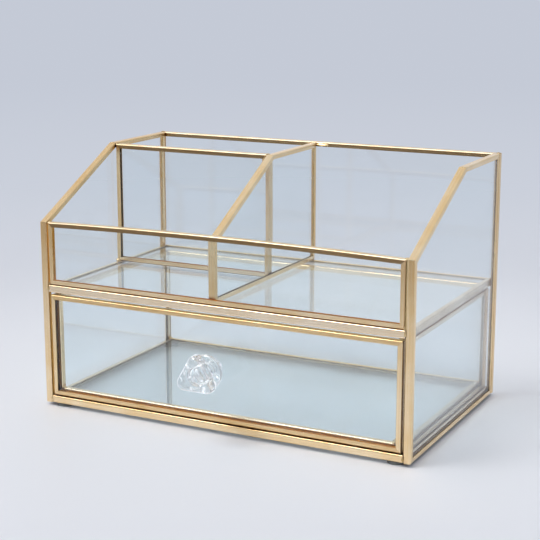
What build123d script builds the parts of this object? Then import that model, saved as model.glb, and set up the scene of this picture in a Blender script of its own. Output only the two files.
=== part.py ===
from build123d import *
import os
from collections import namedtuple

# A glass cosmetic box edged in brass channel, with an open upper tier and one drawer, in millimetres.
# +X is right, +Y is the back and +Z is up. The origin is on the table, under the middle of the
# whole box, with the knob that stands out of its front counted in.

# Cabinet, measured over its outer faces from the table
cabinet_width = 251.6
cabinet_depth = 150.0
cabinet_height = 161.0
front_height = 120.2
bend_depth = 80.5
shelf_height = 80.0
divider_offset = -4.4
divider_drop = 0.8

# Panes, and the folded brass channel that edges every one of them
glass_thickness = 3.8
glass_play = 0.1
channel_wall = 0.4
channel_depth = 3.0
channel_radius = 0.9
mitre_gap = 0.1
seam = 0.1

# Upper front panel, set back a little between the front posts, with its top edge crowned in the middle
front_panel_gap = 0.8
front_panel_recess = 0.4
front_crown = 1.7
crown_runs = 12

# Room around the drawer
drawer_side_gap = 1.5
drawer_top_gap = 1.5
drawer_front_gap = 0.7
drawer_ride_gap = 0.3
drawer_rear_gap = 1.5

# Crystal knob with its seat on the glass: a neck, a collar and a waist that flares into a three-cornered head
glue_film = 0.1
knob_height = 42.6
knob_neck_radius = 4.8
knob_collar_radius = 10.5
knob_collar_thickness = 3.2
knob_collar_edge = 1.4
knob_collar_reach = 11.5
knob_waist_radius = 5.0
knob_waist_length = 4.0
knob_flare_radius = 7.0
knob_head_reach = 20.0
knob_head_thickness = 7.8
knob_front_edge = 3.6
knob_back_edge = 1.6
knob_corner_count = 3
knob_pitch_radius = 8.6
knob_corner_radius = 4.6

# Foot pads under the corners of the base
pad_radius = 5.5
pad_height = 2.0
pad_edge = 0.5

# Sizes that follow from the ones above
channel_width = glass_thickness + 2 * (glass_play + channel_wall)
pane_inset = channel_wall + glass_play
knob_length = knob_head_reach + knob_head_thickness
knob_projection = knob_length + glue_film - pane_inset
front_y = (knob_projection - cabinet_depth) / 2
back_face_y = front_y + cabinet_depth - channel_width
bend_y = front_y + bend_depth
frame_bottom = pad_height
half_width = cabinet_width / 2
inner_half_width = half_width - channel_width
bay_bottom = frame_bottom + channel_width
bay_top = shelf_height - channel_width
drawer_half_width = inner_half_width - drawer_side_gap
drawer_bottom = bay_bottom + drawer_ride_gap
drawer_top = bay_top - drawer_top_gap
drawer_front_bottom = bay_bottom + drawer_front_gap
drawer_inner_y = front_y + channel_width + seam
drawer_back_y = back_face_y - drawer_rear_gap - channel_width

# A panel lies in a plane. Edges of its outline that bow outwards are listed with their rise.
Panel = namedtuple("Panel", "plane outline crowns", defaults=({},))


def rectangle(left, low, right, high):
    """Corners of a rectangular outline, anticlockwise from the lower left."""
    return [(left, low), (right, low), (right, high), (left, high)]


def sloped_outline(front, rear, low, drop):
    """Corners of a side or divider: bottom, rear, flat top, slope and front edges in turn."""
    return [
        (front, low),
        (rear, low),
        (rear, cabinet_height - drop),
        (bend_y, cabinet_height - drop),
        (front, front_height - drop),
    ]


def edge_line(start, end, normal, rise):
    """One edge of an outline that turns anticlockwise about a normal, bowed outwards in short runs."""
    if rise == 0:
        return Line(start, end)
    outward = (end - start).normalized().cross(normal)
    shares = [run / crown_runs for run in range(crown_runs + 1)]
    return Polyline(*(start + (end - start) * t + outward * (4 * rise * t * (1 - t)) for t in shares))


def save(part, name):
    """Label one finished piece and write it under its name."""
    part.label = name
    export_step(part, f"parts/{name}.step")


def pane(panel, name):
    """The glass of one panel, standing inside the channel on its edges."""
    corners = [Vector(u, v) for u, v in panel.outline]
    with BuildPart() as glass:
        with BuildSketch(panel.plane):
            with BuildLine():
                for edge, start in enumerate(corners):
                    end = corners[(edge + 1) % len(corners)]
                    edge_line(start, end, Vector(0, 0, 1), panel.crowns.get(edge, 0))
            make_face()
            offset(amount=-pane_inset, kind=Kind.INTERSECTION, mode=Mode.REPLACE)
        extrude(amount=glass_thickness / 2, both=True)
    save(glass.part, name)


def strip(panel, edge):
    """The brass channel along one edge of a panel, mitred against its neighbours."""
    count = len(panel.outline)
    corners = [panel.plane.from_local_coords((u, v, 0)) for u, v in panel.outline]
    runs = [(corners[(k + 1) % count] - corners[k]).normalized() for k in range(count)]
    start = corners[edge]
    end = corners[(edge + 1) % count]
    along = runs[edge]
    start_mitre = (runs[edge - 1] + along).normalized()
    end_mitre = (along + runs[(edge + 1) % count]).normalized()
    with BuildPart() as brass:
        with BuildLine() as path:
            edge_line(start, end, panel.plane.z_dir, panel.crowns.get(edge, 0))
        heading = path.wire() % 0
        inward = panel.plane.z_dir.cross(heading)
        with BuildSketch(Plane(start, x_dir=inward, z_dir=heading)) as section:
            Rectangle(channel_depth, channel_width, align=(Align.MIN, Align.CENTER))
            fillet(section.vertices().group_by(Axis.X)[0], channel_radius)
            with Locations((channel_wall, 0)):
                slot_width = channel_width - 2 * channel_wall
                Rectangle(channel_depth, slot_width, align=(Align.MIN, Align.CENTER), mode=Mode.SUBTRACT)
        sweep(transition=Transition.RIGHT)
        split(bisect_by=Plane(start + start_mitre * (mitre_gap / 2), z_dir=start_mitre), keep=Keep.TOP)
        split(bisect_by=Plane(end - end_mitre * (mitre_gap / 2), z_dir=end_mitre), keep=Keep.BOTTOM)
    return brass.part


def channel(name, *places):
    """One node of channel: a strip for each pair of a panel and the number of its edge."""
    strips = [strip(panel, edge) for panel, edge in places]
    with BuildPart() as node:
        add(strips)
    save(node.part, name)


os.makedirs("parts", exist_ok=True)

# Side panels, from the front faces of the posts to the back panel behind them
side_outline = sloped_outline(front_y, back_face_y - seam, frame_bottom, 0)
side_x = half_width - channel_width / 2
side_strips = ["bottom_rail", "rear_post", "top_rail", "slope_rail", "front_post"]
for side, x in (("left", -side_x), ("right", side_x)):
    side_panel = Panel(Plane.YZ.offset(x), side_outline)
    pane(side_panel, f"{side}_side_glass")
    for edge, strip_name in enumerate(side_strips):
        channel(f"{side}_{strip_name}", (side_panel, edge))

# Back panel, the full width of the cabinet
back = Panel(
    Plane.XZ.offset(-(back_face_y + channel_width / 2)),
    rectangle(-half_width, frame_bottom, half_width, cabinet_height),
)
pane(back, "back_glass")
channel("back_bottom_rail", (back, 0))
channel("back_top_rail", (back, 2))
channel("back_posts", (back, 1), (back, 3))

# Shelf between the tiers and base under the drawer, let in between the sides
level_half_width = inner_half_width - seam
level_outline = rectangle(-level_half_width, front_y, level_half_width, back_face_y - seam)
for level, z in (("shelf", bay_top + channel_width / 2), ("base", frame_bottom + channel_width / 2)):
    level_panel = Panel(Plane.XY.offset(z), level_outline)
    pane(level_panel, f"{level}_glass")
    channel(f"{level}_front_rail", (level_panel, 0))
    channel(f"{level}_rear_rail", (level_panel, 2))
    channel(f"{level}_side_rails", (level_panel, 1), (level_panel, 3))

# Upper front panel, standing on the front of the shelf
upper_low = shelf_height + seam
front_panel_y = front_y + front_panel_recess + channel_width / 2
front_panel_half_width = inner_half_width - front_panel_gap
upper_front = Panel(
    Plane.XZ.offset(-front_panel_y),
    rectangle(-front_panel_half_width, upper_low, front_panel_half_width, front_height),
    {2: front_crown},
)
pane(upper_front, "upper_front_glass")
channel("upper_front_bottom_rail", (upper_front, 0))
channel("upper_front_top_rail", (upper_front, 2))
channel("upper_front_stiles", (upper_front, 1), (upper_front, 3))

# Middle divider, from the upper front panel to the back panel, a little lower than the sides
divider_front_y = front_panel_y + channel_width / 2 + seam
middle_divider = Panel(
    Plane.YZ.offset(divider_offset),
    sloped_outline(divider_front_y, back_face_y - seam, upper_low, divider_drop),
)
divider_strips = ["bottom_rail", "rear_stile", "top_rail", "slope_rail", "front_stile"]
pane(middle_divider, "middle_divider_glass")
for edge, strip_name in enumerate(divider_strips):
    channel(f"middle_divider_{strip_name}", (middle_divider, edge))

# Rear divider, across the left half just behind the bend of the slope
rear_divider = Panel(
    Plane.XZ.offset(-(bend_y + channel_width / 2)),
    rectangle(
        -inner_half_width + seam,
        upper_low,
        divider_offset - channel_width / 2 - seam,
        cabinet_height - divider_drop,
    ),
)
pane(rear_divider, "rear_divider_glass")
channel("rear_divider_bottom_rail", (rear_divider, 0))
channel("rear_divider_top_rail", (rear_divider, 2))
channel("rear_divider_stiles", (rear_divider, 1), (rear_divider, 3))

# Drawer front, flush with the front posts
drawer_front = Panel(
    Plane.XZ.offset(-(front_y + channel_width / 2)),
    rectangle(-drawer_half_width, drawer_front_bottom, drawer_half_width, drawer_top),
)
pane(drawer_front, "drawer_front_glass")
for edge, strip_name in enumerate(["bottom_rail", "right_stile", "top_rail", "left_stile"]):
    channel(f"drawer_front_{strip_name}", (drawer_front, edge))

# Drawer sides, between the drawer's front and back
drawer_side_x = drawer_half_width - channel_width / 2
drawer_side_outline = rectangle(drawer_inner_y, drawer_bottom, drawer_back_y - seam, drawer_top)
drawer_left = Panel(Plane.YZ.offset(-drawer_side_x), drawer_side_outline)
drawer_right = Panel(Plane.YZ.offset(drawer_side_x), drawer_side_outline)
pane(drawer_left, "drawer_left_glass")
pane(drawer_right, "drawer_right_glass")
for edge, strip_name in enumerate(["bottom_rails", "rear_stiles", "top_rails", "front_stiles"]):
    channel(f"drawer_side_{strip_name}", (drawer_left, edge), (drawer_right, edge))

# Drawer back, the full width of the drawer
drawer_back = Panel(
    Plane.XZ.offset(-(drawer_back_y + channel_width / 2)),
    rectangle(-drawer_half_width, drawer_bottom, drawer_half_width, drawer_top),
)
pane(drawer_back, "drawer_back_glass")
channel("drawer_back_bottom_rail", (drawer_back, 0))
channel("drawer_back_top_rail", (drawer_back, 2))
channel("drawer_back_stiles", (drawer_back, 1), (drawer_back, 3))

# Drawer floor, let in between the four walls of the drawer
floor_half_width = drawer_half_width - channel_width - seam
drawer_floor = Panel(
    Plane.XY.offset(drawer_bottom + channel_width / 2),
    rectangle(-floor_half_width, drawer_inner_y, floor_half_width, drawer_back_y - seam),
)
pane(drawer_floor, "drawer_floor_glass")
channel("drawer_floor_front_rail", (drawer_floor, 0))
channel("drawer_floor_rear_rail", (drawer_floor, 2))
channel("drawer_floor_side_rails", (drawer_floor, 1), (drawer_floor, 3))

# Crystal knob, glued to the middle of the drawer front: a turned stem behind a rounded head, one corner up
knob_seat = Plane((0, front_y + pane_inset - glue_film, knob_height), x_dir=(1, 0, 0), z_dir=(0, -1, 0))
collar_back = knob_collar_reach - knob_collar_thickness / 2
collar_front = knob_collar_reach + knob_collar_thickness / 2
with BuildPart() as crystal_knob:
    with BuildSketch(Plane(knob_seat.origin, x_dir=(0, -1, 0), z_dir=(-1, 0, 0))) as stem:
        with BuildLine():
            Polyline(
                (0, 0),
                (0, knob_neck_radius),
                (collar_back, knob_neck_radius),
                (collar_back, knob_collar_radius),
                (collar_front, knob_collar_radius),
                (collar_front, knob_waist_radius),
                (collar_front + knob_waist_length, knob_waist_radius),
                (knob_head_reach + knob_back_edge, knob_flare_radius),
                (knob_head_reach + knob_back_edge, 0),
                close=True,
            )
        make_face()
        fillet(stem.vertices().group_by(Axis.Z)[-1], knob_collar_edge)
    revolve(axis=Axis(knob_seat.origin, knob_seat.z_dir))
    with BuildPart(mode=Mode.PRIVATE) as head:
        with BuildSketch(knob_seat.offset(knob_head_reach)):
            with PolarLocations(knob_pitch_radius, knob_corner_count, start_angle=90):
                Circle(knob_corner_radius)
            make_hull()
        extrude(amount=knob_head_thickness)
        fillet(head.faces().sort_by(Axis.Y)[0].edges(), knob_front_edge)
        fillet(head.faces().sort_by(Axis.Y)[-1].edges(), knob_back_edge)
    add(head.part)
save(crystal_knob.part, "crystal_knob")

# Foot pads, one under each corner of the base
pad_reach = pad_edge + pad_radius
pad_pitch_x = 2 * (level_half_width - pad_reach)
pad_pitch_y = back_face_y - seam - front_y - 2 * pad_reach
pad_middle_y = (front_y + back_face_y - seam) / 2
with BuildPart() as foot_pads:
    with BuildSketch(Plane.XY):
        with Locations((0, pad_middle_y)):
            with GridLocations(pad_pitch_x, pad_pitch_y, 2, 2):
                Circle(pad_radius)
    extrude(amount=pad_height)
save(foot_pads.part, "foot_pads")
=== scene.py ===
"""Looks of a glass and brass organizer box: finishes, solder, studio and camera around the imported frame."""

import logging
import math
from dataclasses import dataclass, field
from enum import Enum
from typing import Mapping, Sequence, Union

import bmesh
import bpy
from mathutils import Matrix, Vector, noise


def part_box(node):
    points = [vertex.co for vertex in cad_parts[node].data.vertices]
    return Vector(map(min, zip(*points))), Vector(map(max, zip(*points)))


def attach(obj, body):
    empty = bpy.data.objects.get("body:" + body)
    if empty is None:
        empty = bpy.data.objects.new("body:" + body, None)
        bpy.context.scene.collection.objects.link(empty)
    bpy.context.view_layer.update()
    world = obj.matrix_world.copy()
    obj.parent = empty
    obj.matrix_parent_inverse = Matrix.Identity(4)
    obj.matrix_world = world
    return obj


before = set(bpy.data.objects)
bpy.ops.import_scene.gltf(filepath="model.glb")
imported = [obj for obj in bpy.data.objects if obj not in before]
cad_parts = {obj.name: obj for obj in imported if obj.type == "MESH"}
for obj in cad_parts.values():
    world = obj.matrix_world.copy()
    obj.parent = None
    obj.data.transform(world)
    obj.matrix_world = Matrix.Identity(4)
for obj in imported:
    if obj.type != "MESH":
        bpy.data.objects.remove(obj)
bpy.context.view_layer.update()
LOG = logging.getLogger("organizer_box")

Colour = tuple[float, float, float, float]
Operand = Union["Wire", float]
MM = 0.001


class Body(Enum):
    """The two bodies of the box."""

    CABINET = "cabinet"
    DRAWER = "drawer"


class Slot(Enum):
    """The record's material slots that added pieces use."""

    BRASS = "brass"


class Grain(Enum):
    """Which way a strip of channel runs, and with it the brush marks on it."""

    ACROSS = "across"
    DEEP = "deep"
    UPRIGHT = "upright"
    SLOPED = "sloped"


class Tone(Enum):
    """Which colours a strip of brass gets, set strip by strip. The grey tone is painted reflection and shade
    on strips seen through the side panes; the warm and honey tones add painted warm light in the channels and
    painted shade underneath; the side-shaded tone adds painted shade to sides and undersides.
    """

    PLAIN = "plain"
    WARM = "warm"
    PALE = "pale"
    DEEP = "deep"
    HONEY = "honey"
    GREY = "grey"
    AGED_SIDE_SHADE = "aged_side_shade"


class Wire:
    """A number that varies over a surface: one output socket, with arithmetic."""

    def __init__(self, bench: "Bench", socket: bpy.types.NodeSocket) -> None:
        """Wraps an output socket of a bench's node tree."""
        self.bench = bench
        self.socket = socket

    def _maths(self, operation: str, first: Operand, second: Operand) -> "Wire":
        """Adds a Math node on two operands and wraps its result."""
        made = self.bench.node("ShaderNodeMath", {"operation": operation}, {0: first, 1: second})
        return Wire(self.bench, made.outputs[0])

    def __add__(self, other: Operand) -> "Wire":
        """This number plus another."""
        return self._maths("ADD", self, other)

    def __radd__(self, other: float) -> "Wire":
        """A plain number plus this one."""
        return self._maths("ADD", other, self)

    def __sub__(self, other: Operand) -> "Wire":
        """This number less another."""
        return self._maths("SUBTRACT", self, other)

    def __rsub__(self, other: float) -> "Wire":
        """A plain number less this one."""
        return self._maths("SUBTRACT", other, self)

    def __mul__(self, other: Operand) -> "Wire":
        """This number times another."""
        return self._maths("MULTIPLY", self, other)

    def __rmul__(self, other: float) -> "Wire":
        """A plain number times this one."""
        return self._maths("MULTIPLY", other, self)

    def ease(self, low: float, high: float) -> "Wire":
        """Runs this number smoothly from 0 to 1.

        Args:
            low: Where the result leaves 0.
            high: Where the result reaches 1.

        Returns:
            The eased number.
        """
        ends = {"Value": self, "From Min": low, "From Max": high, "To Min": 0.0, "To Max": 1.0}
        smooth = {"interpolation_type": "SMOOTHSTEP", "clamp": True}
        made = self.bench.node("ShaderNodeMapRange", smooth, ends)
        return Wire(self.bench, made.outputs[0])


class Bench:
    """A node tree in the making, with one way to add a node."""

    def __init__(self, tree: bpy.types.NodeTree) -> None:
        """Empties the tree that the nodes go into."""
        self.tree = tree
        tree.nodes.clear()

    def node(
        self,
        kind: str,
        settings: Mapping[str, object] | None = None,
        sockets: Mapping[str | int, object] | None = None,
    ) -> bpy.types.Node:
        """Adds one node.

        Args:
            kind: The node's type.
            settings: The node's own settings, which are set first.
            sockets: A value, a socket or a Wire for each input that isn't left as it is.

        Returns:
            The node.
        """
        made = self.tree.nodes.new(kind)
        for name, value in (settings or {}).items():
            setattr(made, name, value)
        for key, value in (sockets or {}).items():
            if isinstance(value, Wire):
                value = value.socket
            if isinstance(value, bpy.types.NodeSocket):
                self.tree.links.new(value, made.inputs[key])
            else:
                made.inputs[key].default_value = value
        return made

    def wire(self, node: bpy.types.Node, output: str | int = 0) -> Wire:
        """One of a node's outputs as a number."""
        return Wire(self, node.outputs[output])

    def place(self) -> bpy.types.NodeSocket:
        """Where a point lies on its piece, in metres."""
        return self.node("ShaderNodeTexCoord").outputs["Object"]

    def stretched(self, place: bpy.types.NodeSocket, scale: Sequence[float]) -> bpy.types.NodeSocket:
        """A place with each axis scaled on its own."""
        return self.node("ShaderNodeVectorMath", {"operation": "MULTIPLY"}, {0: place, 1: scale}).outputs[0]

    def noise(self, place: bpy.types.NodeSocket, scale: float, detail: float, rough: float = 0.5) -> Wire:
        """Noise over a place.

        Args:
            place: The vector that the noise is read at.
            scale: Cells in a unit of that vector.
            detail: How many finer layers are added.
            rough: How strong each finer layer is.

        Returns:
            A number from 0 to 1, mostly near 0.5.
        """
        made = self.node(
            "ShaderNodeTexNoise",
            {"noise_dimensions": "3D"},
            {"Vector": place, "Scale": scale, "Detail": detail, "Roughness": rough},
        )
        return self.wire(made, "Fac")

    def blend(
        self, share: Operand, first: Colour | bpy.types.NodeSocket, second: Colour | bpy.types.NodeSocket
    ) -> bpy.types.NodeSocket:
        """Mixes two colours.

        Args:
            share: How much of the second colour shows.
            first: The colour at 0.
            second: The colour at 1.

        Returns:
            The mixed colour's socket.
        """
        made = self.node("ShaderNodeMix", {"data_type": "RGBA"}, {0: share, 6: first, 7: second})
        return made.outputs[2]

    def bumped(self, height: Wire, strength: float, depth: float) -> bpy.types.NodeSocket:
        """A normal that follows a height, with depth in metres."""
        relief = {"Strength": strength, "Distance": depth, "Height": height}
        return self.node("ShaderNodeBump", None, relief).outputs[0]

    def finish(self, kind: str, shader: bpy.types.NodeSocket) -> None:
        """Ends the tree in an output node that shows a shader."""
        self.node(kind, None, {"Surface": shader})


@dataclass(frozen=True)
class Finish:
    """What a surface is finished in. Each kind wires its own shader."""

    label: str

    @property
    def casts_shadow(self) -> bool:
        """Whether pieces in this finish keep light off others, and so darken crevices."""
        return True

    def shader(self, bench: Bench) -> bpy.types.NodeSocket:
        """Wires the shader on a bench and gives its output."""
        raise NotImplementedError

    def material(self) -> bpy.types.Material:
        """The material of this finish, made once and shared.

        Returns:
            The material.
        """
        made = bpy.data.materials.get(self.label)
        if made is None:
            made = bpy.data.materials.new(self.label)
            made.use_nodes = True
            made.cycles.emission_sampling = "NONE"
            bench = Bench(made.node_tree)
            bench.finish("ShaderNodeOutputMaterial", self.shader(bench))
        return made


LIGHT_BRASS: tuple[Colour, Colour] = (0.99, 0.815, 0.565, 1), (0.89, 0.625, 0.31, 1)
DEEP_BRASS: tuple[Colour, Colour] = (0.92, 0.71, 0.43, 1), (0.76, 0.50, 0.22, 1)
BRASS_COLOURS: Mapping[Tone, tuple[Colour, Colour]] = {
    Tone.PLAIN: LIGHT_BRASS,
    Tone.WARM: LIGHT_BRASS,
    Tone.PALE: ((0.99, 0.865, 0.69, 1), (0.93, 0.73, 0.48, 1)),
    Tone.DEEP: DEEP_BRASS,
    Tone.HONEY: DEEP_BRASS,
    # A paler, greyer copy of the brass: painted reflection and shade for strips seen through the side panes.
    Tone.GREY: ((0.92, 0.82, 0.68, 1), (0.73, 0.60, 0.43, 1)),
    Tone.AGED_SIDE_SHADE: ((0.93, 0.78, 0.57, 1), (0.81, 0.60, 0.35, 1)),
}
BRIGHT_ROUGHNESS = 0.10
WORN_ROUGHNESS: Mapping[Tone, float] = {Tone.AGED_SIDE_SHADE: 0.24, Tone.DEEP: 0.17, Tone.HONEY: 0.17}
# Strips in these tones get painted warm light inside their channels and painted shade on their undersides.
GLOWING_CHANNEL_TONES = (Tone.WARM, Tone.HONEY)


@dataclass(frozen=True)
class BrushedBrass(Finish):
    """Antique brass channel, brushed along its length, with painted shade where panels meet and inside its
    channels.

    Attributes:
        grain: Which way the brush marks run.
        tone: Which colour pair the strip gets; some tones add painted shade and painted warm light.
        side_shade_strength: How strongly painted shade darkens the sides and undersides of a side-shaded
            strip.
        brown: The colour of that painted shade.
        amber: A warm painted shade near a crease.
        shade_and_tarnish: The colour in a crease and on the undersides of strips with glowing channels:
            painted shade, partly tarnished metal.
        channel_shade: Painted shade inside most channels and in narrow gaps.
        glow: Painted warm light in place of that shade, in strips with glowing channels.
        slope: The fall of the slope rails.
        along: Brush marks in a metre along the strip.
        across: The same, across it.
        patch_scale: Patches in a metre.
        crevice: How far a crease is felt.
        channel: How far the inside of a channel is felt.
        brush_depth: The depth of the brush marks.
    """

    grain: Grain = Grain.ACROSS
    tone: Tone = Tone.PLAIN
    side_shade_strength: float = 0.95
    brown: Colour = (0.33, 0.22, 0.11, 1)
    amber: Colour = (0.80, 0.43, 0.11, 1)
    shade_and_tarnish: Colour = (0.21, 0.080, 0.010, 1)
    channel_shade: Colour = (0.09, 0.040, 0.007, 1)
    glow: Colour = (1.0, 0.74, 0.30, 1)
    slope: float = math.radians(26.88)
    along: float = 16.0
    across: float = 1500.0
    patch_scale: float = 46.0
    crevice: float = 2.6 * MM
    channel: float = 6.0 * MM
    brush_depth: float = 0.05 * MM

    def streaks(self, bench: Bench) -> Wire:
        """Brush marks that run along the strip.

        Args:
            bench: Where the nodes go.

        Returns:
            A number from 0 to 1.
        """
        place = bench.place()
        scale = {
            Grain.ACROSS: (self.along, self.across, self.across),
            Grain.DEEP: (self.across, self.along, self.across),
            Grain.UPRIGHT: (self.across, self.across, self.along),
            Grain.SLOPED: (self.across, self.along, self.across),
        }[self.grain]
        if self.grain is Grain.SLOPED:
            turned = {"rotation_type": "X_AXIS"}
            rotated = bench.node("ShaderNodeVectorRotate", turned, {"Vector": place, "Angle": -self.slope})
            place = rotated.outputs[0]
        return bench.noise(bench.stretched(place, scale), 1.0, 3.0, 0.62)

    def closed(self, bench: Bench, reach: float) -> Wire:
        """How much of the room in front of the surface is taken up by other brass.

        Args:
            bench: Where the nodes go.
            reach: How far to look, in metres.

        Returns:
            A number from 0 in the open to 1 in a narrow gap.
        """
        room = bench.node("ShaderNodeAmbientOcclusion", {"samples": 6}, {"Distance": reach})
        return 1.0 - bench.wire(room, "AO")

    def shader(self, bench: Bench) -> bpy.types.NodeSocket:
        """Wires satin metal with brush marks and patches, and painted shade, partly tarnished, in creases and
        channels.

        Args:
            bench: Where the nodes go.

        Returns:
            The shader's output.
        """
        streaks = self.streaks(bench)
        patches = bench.noise(bench.place(), self.patch_scale, 3.0, 0.6)
        # Painted shade from how closed in each point is: near creases and inside the channels.
        closed = self.closed(bench, self.crevice)
        inside = self.closed(bench, self.channel)
        shade = closed.ease(0.12, 0.46)
        tone = (0.75 * streaks + 0.70 * patches - 0.22).ease(0.18, 0.82)
        colour = bench.blend(tone, *BRASS_COLOURS[self.tone])
        facing = bench.node("ShaderNodeNewGeometry").outputs["Normal"]
        rise = bench.wire(bench.node("ShaderNodeSeparateXYZ", None, {0: facing}), "Z")
        # Painted shade: the sides and undersides of a side-shaded strip are painted darker.
        if self.tone is Tone.AGED_SIDE_SHADE:
            aged_side_shade = (1.0 - rise.ease(0.02, 0.55)) * (0.55 + 0.9 * streaks) * self.side_shade_strength
            colour = bench.blend(aged_side_shade, colour, self.brown)
        # Painted shade on the undersides of strips with glowing channels.
        if self.tone in GLOWING_CHANNEL_TONES:
            colour = bench.blend((-1.0 * rise).ease(0.10, 0.45), colour, self.shade_and_tarnish)
        # Painted shade near creases: warm at the edge, dark in the crease, partly tarnished metal.
        colour = bench.blend(0.75 * closed.ease(0.05, 0.40), colour, self.amber)
        colour = bench.blend(shade, colour, self.shade_and_tarnish)
        # Inside the channels: painted shade in most strips, painted warm light in strips with glowing
        # channels.
        channel_light_and_shade = self.glow if self.tone in GLOWING_CHANNEL_TONES else self.channel_shade
        colour = bench.blend(inside.ease(0.46, 0.70), colour, channel_light_and_shade)
        least = WORN_ROUGHNESS.get(self.tone, BRIGHT_ROUGHNESS)
        rough = least + 0.14 * streaks + 0.10 * patches + 0.20 * shade
        made = bench.node(
            "ShaderNodeBsdfPrincipled",
            None,
            {
                "Base Color": colour,
                "Metallic": 1.0,
                "Roughness": rough,
                "Normal": bench.bumped(streaks + 0.8 * patches, 0.30, self.brush_depth),
            },
        )
        return made.outputs[0]


@dataclass(frozen=True)
class Solder(Finish):
    """Brass-toned solder, run into the joints and wiped."""

    bright: Colour = (0.88, 0.70, 0.42, 1)
    dull: Colour = (0.52, 0.36, 0.17, 1)
    lump_scale: float = 420.0
    lump_depth: float = 0.20 * MM
    patch_scale: float = 160.0

    def shader(self, bench: Bench) -> bpy.types.NodeSocket:
        """Wires uneven, partly dulled metal.

        Args:
            bench: Where the nodes go.

        Returns:
            The shader's output.
        """
        place = bench.place()
        lumps = bench.noise(place, self.lump_scale, 2.0)
        patches = bench.noise(place, self.patch_scale, 3.0, 0.6)
        made = bench.node(
            "ShaderNodeBsdfPrincipled",
            None,
            {
                "Base Color": bench.blend(patches.ease(0.36, 0.68), self.bright, self.dull),
                "Metallic": 1.0,
                "Roughness": 0.14 + 0.30 * patches,
                "Normal": bench.bumped(lumps, 0.5, self.lump_depth),
            },
        )
        return made.outputs[0]


@dataclass(frozen=True)
class ClearGlass(Finish):
    """Clear sheet glass that bends, mirrors and faintly tints what it shows, with traces of wiping."""

    clear: Colour = (0.950, 0.978, 0.986, 1)
    smeared: Colour = (0.938, 0.970, 0.980, 1)
    index: float = 1.5
    wipe_scale: tuple[float, float, float] = (14.0, 14.0, 30.0)
    most_rough: float = 0.04
    film: Colour = (0.80, 0.85, 0.88, 1)
    most_film: float = 0.020

    @property
    def casts_shadow(self) -> bool:
        """Panes let all but a trace of the light through."""
        return False

    def shader(self, bench: Bench) -> bpy.types.NodeSocket:
        """Wires clear glass with a trace of film on it.

        Args:
            bench: Where the nodes go.

        Returns:
            The shader's output.
        """
        wipes = bench.noise(bench.stretched(bench.place(), self.wipe_scale), 1.0, 4.0, 0.6)
        glass = bench.node(
            "ShaderNodeBsdfPrincipled",
            None,
            {
                "Base Color": bench.blend(wipes, self.clear, self.smeared),
                "Roughness": wipes.ease(0.55, 0.95) * self.most_rough,
                "IOR": self.index,
                "Transmission Weight": 1.0,
            },
        )
        film = bench.node("ShaderNodeBsdfDiffuse", None, {"Color": self.film})
        share = wipes.ease(0.42, 0.80) * self.most_film
        made = bench.node("ShaderNodeMixShader", None, {0: share, 1: glass.outputs[0], 2: film.outputs[0]})
        return made.outputs[0]


@dataclass(frozen=True)
class ClearCrystal(Finish):
    """Clear pressed crystal, solid right through, with a faintly rippled skin, a faint white haze, and
    painted white highlights at its rims and in patches.
    """

    pale: Colour = (0.985, 0.995, 0.99, 1)
    cool: Colour = (0.66, 0.73, 0.76, 1)
    milk_and_highlight: Colour = (0.97, 0.97, 0.99, 1)
    least_milk: float = 0.02
    patch_highlight: float = 0.44
    rim_highlight: float = 0.68
    index: float = 1.62
    lustre: float = 2.0
    gloss_rough: float = 0.14
    most_rough: float = 0.03
    ripple_scale: float = 230.0
    ripple_depth: float = 0.50 * MM

    def shader(self, bench: Bench) -> bpy.types.NodeSocket:
        """Wires solid clear glass that bends what is behind it, with painted white highlights at its rims and
        in patches.

        Args:
            bench: Where the nodes go.

        Returns:
            The shader's output.
        """
        swirl = bench.noise(bench.place(), self.ripple_scale, 1.0)
        clear = bench.node(
            "ShaderNodeBsdfPrincipled",
            None,
            {
                "Base Color": bench.blend(swirl, self.pale, self.cool),
                "Roughness": swirl.ease(0.5, 0.9) * self.most_rough,
                "IOR": self.index,
                "Transmission Weight": 1.0,
                "Coat Weight": 1.0,
                "Coat Roughness": self.gloss_rough,
                "Coat IOR": self.lustre,
                "Normal": bench.bumped(swirl, 0.60, self.ripple_depth),
            },
        )
        # Painted highlight: white diffuse and translucent light mixed in at the rims and in patches of the
        # swirl, over a faint haze.
        rim = bench.wire(bench.node("ShaderNodeLayerWeight", None, {"Blend": 0.5}), "Facing")
        front = bench.node("ShaderNodeBsdfDiffuse", None, {"Color": self.milk_and_highlight})
        behind = bench.node("ShaderNodeBsdfTranslucent", None, {"Color": self.milk_and_highlight})
        milky_highlight = bench.node("ShaderNodeAddShader", None, {0: front.outputs[0], 1: behind.outputs[0]})
        haze_and_glints = self.least_milk + self.patch_highlight * swirl.ease(0.60, 0.69)
        share = haze_and_glints + self.rim_highlight * rim.ease(0.55, 0.93)
        made = bench.node("ShaderNodeMixShader", None, {0: share, 1: clear.outputs[0], 2: milky_highlight.outputs[0]})
        return made.outputs[0]


@dataclass(frozen=True)
class SoftPad(Finish):
    """Soft grey foot pads with a fine moulded grain."""

    light: Colour = (0.16, 0.17, 0.16, 1)
    dark: Colour = (0.08, 0.085, 0.08, 1)
    grain_scale: float = 2600.0
    grain_depth: float = 0.05 * MM

    def shader(self, bench: Bench) -> bpy.types.NodeSocket:
        """Wires dull, faintly grained rubber.

        Args:
            bench: Where the nodes go.

        Returns:
            The shader's output.
        """
        grain = bench.noise(bench.place(), self.grain_scale, 3.0)
        made = bench.node(
            "ShaderNodeBsdfPrincipled",
            None,
            {
                "Base Color": bench.blend(grain, self.light, self.dark),
                "Roughness": 0.50 + 0.25 * grain,
                "Normal": bench.bumped(grain, 0.35, self.grain_depth),
            },
        )
        return made.outputs[0]


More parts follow.
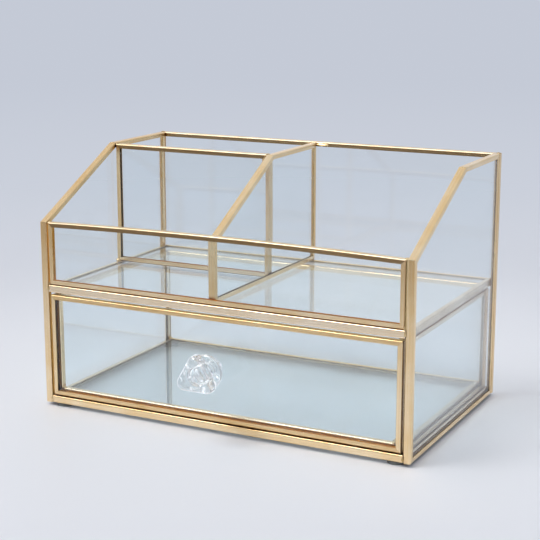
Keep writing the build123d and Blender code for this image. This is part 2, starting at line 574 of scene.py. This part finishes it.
@dataclass(frozen=True)
class PaleFloor(Finish):
    """A plain pale table top that fades into the backdrop's own colour."""

    near: Colour = (0.765, 0.785, 0.84, 1)
    far: Colour = (0.60, 0.625, 0.69, 1)
    near_haze: Colour = (0.605, 0.639, 0.717, 1)
    far_haze: Colour = (0.555, 0.591, 0.674, 1)
    dull_from: float = 0.14
    dull_to: float = 0.56
    fade_from: float = 0.34
    fade_to: float = 0.95
    haze_from: float = 0.2
    haze_to: float = 2.6
    cloud_scale: float = 3.0

    def shader(self, bench: Bench) -> bpy.types.NodeSocket:
        """Wires a soft sheen that fades out with distance.

        Args:
            bench: Where the nodes go.

        Returns:
            The shader's output.
        """
        place = bench.place()
        reach = bench.wire(bench.node("ShaderNodeVectorMath", {"operation": "LENGTH"}, {0: place}), "Value")
        cloud = bench.noise(place, self.cloud_scale, 3.0)
        dull = (reach + 0.06 * cloud).ease(self.dull_from, self.dull_to)
        top = bench.node(
            "ShaderNodeBsdfPrincipled",
            None,
            {
                "Base Color": bench.blend(dull, self.near, self.far),
                "Roughness": 0.40 + 0.12 * cloud,
            },
        )
        haze = bench.blend(reach.ease(self.haze_from, self.haze_to), self.near_haze, self.far_haze)
        gone = bench.node("ShaderNodeEmission", None, {"Color": haze, "Strength": 1.0})
        share = reach.ease(self.fade_from, self.fade_to)
        made = bench.node("ShaderNodeMixShader", None, {0: share, 1: top.outputs[0], 2: gone.outputs[0]})
        return made.outputs[0]


@dataclass(frozen=True)
class DarkCard(Finish):
    """A dull dark card that gives polished metal something to mirror."""

    shade: Colour = (0.36, 0.31, 0.23, 1)

    def shader(self, bench: Bench) -> bpy.types.NodeSocket:
        """Wires a card that glows faintly and mirrors nothing."""
        return bench.node("ShaderNodeEmission", None, {"Color": self.shade, "Strength": 1.0}).outputs[0]


BRASS = {
    (grain, tone): BrushedBrass(f"{tone.value}_brass_{grain.value}", grain, tone)
    for grain in Grain
    for tone in Tone
}
SOLDER = Solder("wiped_solder")
GLASS = ClearGlass("clear_sheet_glass")
CRYSTAL = ClearCrystal("clear_crystal")
PAD = SoftPad("soft_grey_pad")


def spot(node: str, x: float, y: float, z: float) -> Vector:
    """A point of a CAD node's box.

    Args:
        node: The node's name.
        x: Share of the way from the box's low side to its high side.
        y: The same, from front to back.
        z: The same, from bottom to top.

    Returns:
        The point, in metres.
    """
    low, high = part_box(node)
    return Vector((low[i] + share * (high[i] - low[i]) for i, share in enumerate((x, y, z))))


def dress(node: str, finish: Finish) -> None:
    """Gives a CAD node one finish all over.

    Args:
        node: The node's name.
        finish: What it is finished in.
    """
    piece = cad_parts[node]
    piece.data.materials.clear()
    piece.data.materials.append(finish.material())
    piece.visible_shadow = finish.casts_shadow


@dataclass(frozen=True)
class Bead:
    """A bead of solder over a joint: a low mound, longer one way, with an uneven skin."""

    place: Vector
    along: Vector
    up: Vector
    length: float = 3.4 * MM
    width: float = 2.4 * MM
    height: float = 0.45 * MM
    depth: float = 0.5 * MM
    unevenness: float = 0.352
    lumps: float = 1.6
    segments: int = 20
    rings: int = 10

    def add_to(self, mesh: bmesh.types.BMesh) -> None:
        """Adds the bead's skin to a mesh.

        Args:
            mesh: The mesh in the making.
        """
        up = self.up.normalized()
        along = (self.along - up * self.along.dot(up)).normalized()
        side = up.cross(along)
        seed = self.place * 1000.0
        layers = []
        for ring in range(self.rings + 1):
            polar = math.pi * ring / self.rings
            count = 1 if ring in (0, self.rings) else self.segments
            layer = []
            for step in range(count):
                turn = 2 * math.pi * step / self.segments
                girth = math.sin(polar)
                way = Vector((girth * math.cos(turn), girth * math.sin(turn), math.cos(polar)))
                swell = 1 + self.unevenness * noise.noise(way * self.lumps + seed)
                rise = self.height if way.z > 0 else self.depth
                flat = along * (way.x * self.length / 2) + side * (way.y * self.width / 2)
                layer.append(mesh.verts.new(self.place + (flat + up * (way.z * rise)) * swell))
            layers.append(layer)
        for upper, lower in zip(layers, layers[1:]):
            for step in range(self.segments):
                after = (step + 1) % self.segments
                corners = (
                    upper[step % len(upper)],
                    lower[step % len(lower)],
                    lower[after % len(lower)],
                    upper[after % len(upper)],
                )
                mesh.faces.new(list(dict.fromkeys(corners)))


X, Y, Z = Vector((1, 0, 0)), Vector((0, 1, 0)), Vector((0, 0, 1))


@dataclass
class GlazedPanel:
    """One kind of panel: panes in their brass channel, and the solder to their neighbours."""

    title: str
    body: Body
    panes: Sequence[str]
    strips: Mapping[Grain, Sequence[str]]
    tones: Mapping[Tone, Sequence[str]] = field(default_factory=dict)

    def joints(self) -> list[Bead]:
        """The beads of solder on this panel."""
        return []

    def run_solder(self) -> bpy.types.Object | None:
        """Builds the panel's solder as one piece.

        Returns:
            The piece, or None where the panel has no beads.
        """
        beads = self.joints()
        if not beads:
            return None
        skin = bmesh.new()
        for bead in beads:
            bead.add_to(skin)
        bmesh.ops.recalc_face_normals(skin, faces=skin.faces)
        mesh = bpy.data.meshes.new(f"{self.title}_solder")
        skin.to_mesh(mesh)
        skin.free()
        mesh.shade_smooth()
        mesh.materials.append(SOLDER.material())
        piece = bpy.data.objects.new(mesh.name, mesh)
        bpy.context.scene.collection.objects.link(piece)
        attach(piece, self.body.value)
        return piece

    def build(self) -> None:
        """Dresses the panel's nodes and adds its solder."""
        for pane in self.panes:
            dress(pane, GLASS)
        for grain, names in self.strips.items():
            for name in names:
                tone = next((tone for tone, toned in self.tones.items() if name in toned), Tone.PLAIN)
                dress(name, BRASS[grain, tone])
        solder = self.run_solder()
        count = sum(len(names) for names in self.strips.values())
        made = solder.name if solder else "none"
        LOG.info("%s: %d panes, %d strips, solder %s", self.title, len(self.panes), count, made)


@dataclass
class SidePanels(GlazedPanel):
    """The two sloped sides of the cabinet."""

    title: str = "sides"
    body: Body = Body.CABINET
    panes: Sequence[str] = ("left_side_glass", "right_side_glass")
    strips: Mapping[Grain, Sequence[str]] = field(default_factory=lambda: {
        Grain.DEEP: ("left_bottom_rail", "right_bottom_rail", "left_top_rail", "right_top_rail"),
        Grain.UPRIGHT: ("left_rear_post", "right_rear_post", "left_front_post", "right_front_post"),
        Grain.SLOPED: ("left_slope_rail", "right_slope_rail"),
    })
    tones: Mapping[Tone, Sequence[str]] = field(default_factory=lambda: {
        Tone.DEEP: ("left_top_rail", "left_slope_rail", "right_rear_post"),
        Tone.HONEY: ("left_rear_post",),
        Tone.WARM: ("left_front_post",),
    })

    def joints(self) -> list[Bead]:
        """Beads where the front posts meet the slope rails and at the bends.

        Returns:
            The beads.
        """
        beads = []
        for side in ("left", "right"):
            top = spot(f"{side}_front_post", 0.5, 0.35, 1.0)
            beads.append(Bead(top - Z * 0.35 * MM, X, Z - 0.5 * Y, 3.2 * MM, 2.0 * MM, 0.40 * MM))
            bend = spot(f"{side}_top_rail", 0.5, 0.0, 1.0)
            beads.append(Bead(bend - Z * 0.2 * MM, X, Z - 0.25 * Y, 3.0 * MM, 1.6 * MM, 0.30 * MM))
        return beads


@dataclass
class BackPanel(GlazedPanel):
    """The back of the cabinet."""

    title: str = "back"
    body: Body = Body.CABINET
    panes: Sequence[str] = ("back_glass",)
    strips: Mapping[Grain, Sequence[str]] = field(default_factory=lambda: {
        Grain.ACROSS: ("back_bottom_rail", "back_top_rail"),
        Grain.UPRIGHT: ("back_posts",),
    })
    tones: Mapping[Tone, Sequence[str]] = field(default_factory=lambda: {
        Tone.AGED_SIDE_SHADE: ("back_top_rail",),
        Tone.HONEY: ("back_posts",),
    })

    def joints(self) -> list[Bead]:
        """Beads over the seams with the two sides.

        Returns:
            The beads.
        """
        beads = []
        for share, inward in ((0.0, X), (1.0, -X)):
            top = spot("back_top_rail", share, 0.5, 1.0) + inward * 1.6 * MM
            beads.append(Bead(top, Y, Z, 3.6 * MM, 2.6 * MM, 0.40 * MM))
            low = spot("back_bottom_rail", share, 1.0, 0.5) + inward * 1.4 * MM
            beads.append(Bead(low, Z, Y, 3.4 * MM, 2.2 * MM, 0.40 * MM))
        return beads


@dataclass
class Shelf(GlazedPanel):
    """The glass shelf between the two tiers."""

    title: str = "shelf"
    body: Body = Body.CABINET
    panes: Sequence[str] = ("shelf_glass",)
    strips: Mapping[Grain, Sequence[str]] = field(default_factory=lambda: {
        Grain.ACROSS: ("shelf_front_rail", "shelf_rear_rail"),
        Grain.DEEP: ("shelf_side_rails",),
    })
    tones: Mapping[Tone, Sequence[str]] = field(default_factory=lambda: {
        Tone.PALE: ("shelf_front_rail",),
        Tone.GREY: ("shelf_side_rails",),
    })

    def joints(self) -> list[Bead]:
        """Beads over the seams with the front posts.

        Returns:
            The beads.
        """
        return [
            Bead(spot("shelf_front_rail", share, 0.0, 0.55), Z, -Y, 3.0 * MM, 1.5 * MM, 0.28 * MM)
            for share in (0.0, 1.0)
        ]


@dataclass
class Base(GlazedPanel):
    """The glass base under the drawer."""

    title: str = "base"
    body: Body = Body.CABINET
    panes: Sequence[str] = ("base_glass",)
    strips: Mapping[Grain, Sequence[str]] = field(default_factory=lambda: {
        Grain.ACROSS: ("base_front_rail", "base_rear_rail"),
        Grain.DEEP: ("base_side_rails",),
    })
    tones: Mapping[Tone, Sequence[str]] = field(default_factory=lambda: {
        Tone.GREY: ("base_side_rails",),
    })

    def joints(self) -> list[Bead]:
        """Beads over the seams with the front posts.

        Returns:
            The beads.
        """
        return [
            Bead(spot("base_front_rail", share, 0.0, 0.45), Z, -Y, 3.0 * MM, 1.4 * MM, 0.25 * MM)
            for share in (0.0, 1.0)
        ]


@dataclass
class UpperFront(GlazedPanel):
    """The low panel across the front of the upper tier."""

    title: str = "upper_front"
    body: Body = Body.CABINET
    panes: Sequence[str] = ("upper_front_glass",)
    strips: Mapping[Grain, Sequence[str]] = field(default_factory=lambda: {
        Grain.ACROSS: ("upper_front_bottom_rail", "upper_front_top_rail"),
        Grain.UPRIGHT: ("upper_front_stiles",),
    })
    tones: Mapping[Tone, Sequence[str]] = field(default_factory=lambda: {
        Tone.AGED_SIDE_SHADE: ("upper_front_top_rail",),
        Tone.WARM: ("upper_front_bottom_rail", "upper_front_stiles"),
    })

    def joints(self) -> list[Bead]:
        """Beads where the rails meet the front posts.

        Returns:
            The beads.
        """
        beads = []
        for share in (0.0, 1.0):
            head = spot("upper_front_stiles", share, 0.4, 1.0)
            beads.append(Bead(head, X, Z - 0.4 * Y, 2.8 * MM, 3.0 * MM, 0.45 * MM))
            foot = spot("upper_front_bottom_rail", share, 0.0, 0.15)
            beads.append(Bead(foot, Z, -Y, 2.4 * MM, 1.3 * MM, 0.30 * MM))
        return beads


@dataclass
class MiddleDivider(GlazedPanel):
    """The sloped divider that parts the upper tier into left and right."""

    title: str = "middle_divider"
    body: Body = Body.CABINET
    panes: Sequence[str] = ("middle_divider_glass",)
    strips: Mapping[Grain, Sequence[str]] = field(default_factory=lambda: {
        Grain.DEEP: ("middle_divider_bottom_rail", "middle_divider_top_rail"),
        Grain.UPRIGHT: ("middle_divider_rear_stile", "middle_divider_front_stile"),
        Grain.SLOPED: ("middle_divider_slope_rail",),
    })
    tones: Mapping[Tone, Sequence[str]] = field(default_factory=lambda: {
        Tone.DEEP: ("middle_divider_front_stile",),
        Tone.HONEY: ("middle_divider_rear_stile",),
    })

    def joints(self) -> list[Bead]:
        """Beads at the back rail, the front rail and the foot.

        Returns:
            The beads.
        """
        rear = spot("middle_divider_top_rail", 1.0, 1.0, 1.0)
        head = spot("middle_divider_front_stile", 0.5, 0.0, 1.0)
        foot = spot("middle_divider_bottom_rail", 1.0, 0.0, 0.0)
        return [
            Bead(rear + X * 4.2 * MM - Z * 0.9 * MM, X, Z - 1.2 * Y, 11.0 * MM, 2.2 * MM, 0.55 * MM),
            Bead(spot("middle_divider_top_rail", 0.5, 1.0, 1.0), Y, Z, 3.0 * MM, 3.4 * MM, 0.40 * MM),
            Bead(head - Z * 0.6 * MM, X, Z, 3.4 * MM, 1.8 * MM, 0.5 * MM),
            Bead(foot + Vector((0.1, 0.6, 0.3)) * MM, X, X - Y + Z, 2.2 * MM, 2.0 * MM, 0.8 * MM),
        ]


@dataclass
class RearDivider(GlazedPanel):
    """The short divider across the left half of the upper tier."""

    title: str = "rear_divider"
    body: Body = Body.CABINET
    panes: Sequence[str] = ("rear_divider_glass",)
    strips: Mapping[Grain, Sequence[str]] = field(default_factory=lambda: {
        Grain.ACROSS: ("rear_divider_bottom_rail", "rear_divider_top_rail"),
        Grain.UPRIGHT: ("rear_divider_stiles",),
    })
    tones: Mapping[Tone, Sequence[str]] = field(default_factory=lambda: {
        Tone.AGED_SIDE_SHADE: ("rear_divider_top_rail",),
        Tone.DEEP: ("rear_divider_stiles",),
        Tone.WARM: ("rear_divider_bottom_rail",),
    })

    def joints(self) -> list[Bead]:
        """Beads at the four corners.

        Returns:
            The beads.
        """
        beads = []
        for share, inward in ((0.0, X), (1.0, -X)):
            head = spot("rear_divider_top_rail", share, 0.5, 1.0)
            beads.append(Bead(head, X, Z, 2.4 * MM, 3.2 * MM, 0.40 * MM))
            foot = spot("rear_divider_bottom_rail", share, 0.0, 0.0) + (inward * 1.2 + Z * 0.5) * MM
            beads.append(Bead(foot, X, Z - Y + inward * 0.4, 3.8 * MM, 2.2 * MM, 0.9 * MM))
        return beads


@dataclass
class DrawerFront(GlazedPanel):
    """The framed front of the drawer."""

    title: str = "drawer_front"
    body: Body = Body.DRAWER
    panes: Sequence[str] = ("drawer_front_glass",)
    strips: Mapping[Grain, Sequence[str]] = field(default_factory=lambda: {
        Grain.ACROSS: ("drawer_front_bottom_rail", "drawer_front_top_rail"),
        Grain.UPRIGHT: ("drawer_front_right_stile", "drawer_front_left_stile"),
    })
    tones: Mapping[Tone, Sequence[str]] = field(default_factory=lambda: {
        # The top rail's darker honey colours are painted shade from the shelf just above it.
        Tone.HONEY: ("drawer_front_bottom_rail", "drawer_front_top_rail"),
    })


@dataclass
class DrawerSides(GlazedPanel):
    """The two sides of the drawer."""

    title: str = "drawer_sides"
    body: Body = Body.DRAWER
    panes: Sequence[str] = ("drawer_left_glass", "drawer_right_glass")
    strips: Mapping[Grain, Sequence[str]] = field(default_factory=lambda: {
        Grain.DEEP: ("drawer_side_bottom_rails", "drawer_side_top_rails"),
        Grain.UPRIGHT: ("drawer_side_rear_stiles", "drawer_side_front_stiles"),
    })
    tones: Mapping[Tone, Sequence[str]] = field(default_factory=lambda: {
        Tone.GREY: ("drawer_side_bottom_rails", "drawer_side_top_rails", "drawer_side_rear_stiles"),
    })

    def joints(self) -> list[Bead]:
        """Beads on top, where the sides meet the front.

        Returns:
            The beads.
        """
        inset = 2.1 * MM
        left = spot("drawer_side_top_rails", 0.0, 0.0, 1.0) + X * inset
        right = spot("drawer_side_top_rails", 1.0, 0.0, 1.0) - X * inset
        return [Bead(place, X, Z, 3.2 * MM, 2.4 * MM, 0.35 * MM) for place in (left, right)]


@dataclass
class DrawerBack(GlazedPanel):
    """The back of the drawer."""

    title: str = "drawer_back"
    body: Body = Body.DRAWER
    panes: Sequence[str] = ("drawer_back_glass",)
    strips: Mapping[Grain, Sequence[str]] = field(default_factory=lambda: {
        Grain.ACROSS: ("drawer_back_bottom_rail", "drawer_back_top_rail"),
        Grain.UPRIGHT: ("drawer_back_stiles",),
    })


@dataclass
class DrawerFloor(GlazedPanel):
    """The glass floor of the drawer."""

    title: str = "drawer_floor"
    body: Body = Body.DRAWER
    panes: Sequence[str] = ("drawer_floor_glass",)
    strips: Mapping[Grain, Sequence[str]] = field(default_factory=lambda: {
        Grain.ACROSS: ("drawer_floor_front_rail", "drawer_floor_rear_rail"),
        Grain.DEEP: ("drawer_floor_side_rails",),
    })
    tones: Mapping[Tone, Sequence[str]] = field(default_factory=lambda: {
        Tone.PALE: ("drawer_floor_front_rail",),
        Tone.GREY: ("drawer_floor_side_rails",),
    })

    def joints(self) -> list[Bead]:
        """Beads in the four corners of the drawer.

        Returns:
            The beads.
        """
        beads = []
        for share, inward in ((0.0, X), (1.0, -X)):
            for rail, depth in (("drawer_floor_front_rail", 0.4), ("drawer_floor_rear_rail", 0.6)):
                corner = spot(rail, share, depth, 1.0) + inward * 0.5 * MM
                beads.append(Bead(corner, X, Z + inward * 0.5, 2.6 * MM, 3.0 * MM, 0.7 * MM))
        return beads


@dataclass
class CrystalKnob:
    """The clear crystal knob on the drawer front."""

    node: str = "crystal_knob"

    def build(self) -> None:
        """Dresses the knob."""
        dress(self.node, CRYSTAL)
        LOG.info("%s: dressed", self.node)


@dataclass
class FootPads:
    """The four pads under the base."""

    node: str = "foot_pads"

    def build(self) -> None:
        """Dresses the pads."""
        dress(self.node, PAD)
        LOG.info("%s: dressed", self.node)


@dataclass(frozen=True)
class Softbox:
    """A large soft lamp, far enough off to be a bright patch of the surroundings."""

    toward: tuple[float, float, float]
    core: float
    edge: float
    radiance: Colour

    def share(self, bench: Bench, way: bpy.types.NodeSocket) -> Wire:
        """How much of this lamp shows in a direction.

        Args:
            bench: Where the nodes go.
            way: The direction that is looked in.

        Returns:
            A number from 0 to 1.
        """
        toward = Vector(self.toward).normalized()
        nearness = bench.node("ShaderNodeVectorMath", {"operation": "DOT_PRODUCT"}, {0: way, 1: toward})
        return bench.wire(nearness, "Value").ease(math.cos(self.edge), math.cos(self.core))


@dataclass(frozen=True)
class Viewpoint:
    """Where the photograph was taken from, and through what lens."""

    place: tuple[float, float, float] = (0.38181, -0.73784, 0.27912)
    azimuth: float = math.radians(27.0281)
    elevation: float = math.radians(12.8501)
    roll: float = math.radians(-0.0336)
    focal: float = 89.972
    sensor: float = 36.0
    nearest: float = 0.01
    farthest: float = 50.0

    def build(self) -> None:
        """Sets up the scene's camera."""
        back = Vector((
            math.sin(self.azimuth) * math.cos(self.elevation),
            -math.cos(self.azimuth) * math.cos(self.elevation),
            math.sin(self.elevation),
        ))
        right = Vector((math.cos(self.azimuth), math.sin(self.azimuth), 0.0))
        up = back.cross(right)
        turned = right * math.cos(self.roll) + up * math.sin(self.roll)
        up = up * math.cos(self.roll) - right * math.sin(self.roll)
        lens = bpy.data.cameras.new("viewpoint")
        lens.lens, lens.sensor_width = self.focal, self.sensor
        lens.clip_start, lens.clip_end = self.nearest, self.farthest
        camera = bpy.data.objects.new("viewpoint", lens)
        bpy.context.scene.collection.objects.link(camera)
        axes = Matrix((turned, up, back)).transposed().to_4x4()
        camera.matrix_world = Matrix.Translation(self.place) @ axes
        bpy.context.scene.camera = camera


@dataclass
class Studio:
    """The pale table top, the soft surroundings and the lamps."""

    table_radius: float = 12.0
    segments: int = 64
    low: Colour = (0.76, 0.79, 0.865, 1)
    level: Colour = (0.60, 0.64, 0.73, 1)
    high: Colour = (0.80, 0.81, 0.83, 1)
    strength: float = 0.92
    clear_bounces: int = 40
    glossy_bounces: int = 12
    lamps: Sequence[Softbox] = (
        Softbox((-0.42, -0.36, 0.83), math.radians(15), math.radians(33), (1.55, 1.53, 1.50, 1)),
        Softbox((-0.42, -0.36, 0.83), math.radians(8), math.radians(14), (8.0, 7.95, 7.85, 1)),
        Softbox((-1.0, 1.3, 0.75), math.radians(16), math.radians(36), (0.9, 0.9, 0.92, 1)),
    )
    card_corners: Sequence[tuple[float, float, float]] = (
        (-1.30, -0.46, 0.0), (0.50, -0.46, 0.0), (0.50, -0.46, 0.13), (-1.30, -0.46, 0.13),
    )

    def table(self) -> None:
        """Lays the round table top under the pads."""
        skin = bmesh.new()
        bmesh.ops.create_circle(skin, cap_ends=True, segments=self.segments, radius=self.table_radius)
        mesh = bpy.data.meshes.new("table_top")
        skin.to_mesh(mesh)
        skin.free()
        mesh.materials.append(PaleFloor("pale_table").material())
        top = bpy.data.objects.new("table_top", mesh)
        bpy.context.scene.collection.objects.link(top)

    def card(self) -> None:
        """Stands a dark card in front of the box that only polished surfaces see."""
        mesh = bpy.data.meshes.new("dark_card")
        mesh.from_pydata(self.card_corners, [], [tuple(range(len(self.card_corners)))])
        mesh.materials.append(DarkCard("dull_dark_card").material())
        card = bpy.data.objects.new("dark_card", mesh)
        bpy.context.scene.collection.objects.link(card)
        card.visible_camera = card.visible_diffuse = card.visible_transmission = False
        card.visible_shadow = card.visible_volume_scatter = False

    def surroundings(self) -> None:
        """Wires the pale surroundings: cool behind, paler below and above."""
        world = bpy.data.worlds.new("pale_studio")
        bpy.context.scene.world = world
        world.use_nodes = True
        world.cycles.sampling_method = "NONE"
        bench = Bench(world.node_tree)
        way = bench.node("ShaderNodeTexCoord").outputs["Generated"]
        height = bench.wire(bench.node("ShaderNodeSeparateXYZ", None, {0: way}), "Z")
        colour = bench.blend(height.ease(-0.45, -0.02), self.low, self.level)
        colour = bench.blend(height.ease(0.02, 0.65), colour, self.high)
        unseen = 1.0 - bench.wire(bench.node("ShaderNodeLightPath"), "Is Camera Ray")
        for lamp in self.lamps:
            colour = bench.blend(unseen * lamp.share(bench, way), colour, lamp.radiance)
        shown = bench.node("ShaderNodeBackground", None, {"Color": colour, "Strength": self.strength})
        bench.finish("ShaderNodeOutputWorld", shown.outputs[0])

    def build(self) -> None:
        """Builds the studio."""
        self.table()
        self.card()
        self.surroundings()
        scene = bpy.context.scene
        scene.view_settings.view_transform = "Standard"
        scene.cycles.max_bounces = self.clear_bounces
        scene.cycles.transmission_bounces = self.clear_bounces
        scene.cycles.glossy_bounces = self.glossy_bounces
        scene.cycles.blur_glossy = 0.0
        LOG.info("studio: table, card, %d soft lamps", len(self.lamps))


def main() -> None:
    """Builds the box's looks, its studio and the camera."""
    logging.basicConfig(level=logging.INFO, format="%(name)s %(message)s")
    for assembly in (
        SidePanels(), BackPanel(), Shelf(), Base(), UpperFront(), MiddleDivider(), RearDivider(),
        DrawerFront(), DrawerSides(), DrawerBack(), DrawerFloor(), CrystalKnob(), FootPads(),
        Studio(), Viewpoint(),
    ):
        assembly.build()


if __name__ == "__main__":
    main()
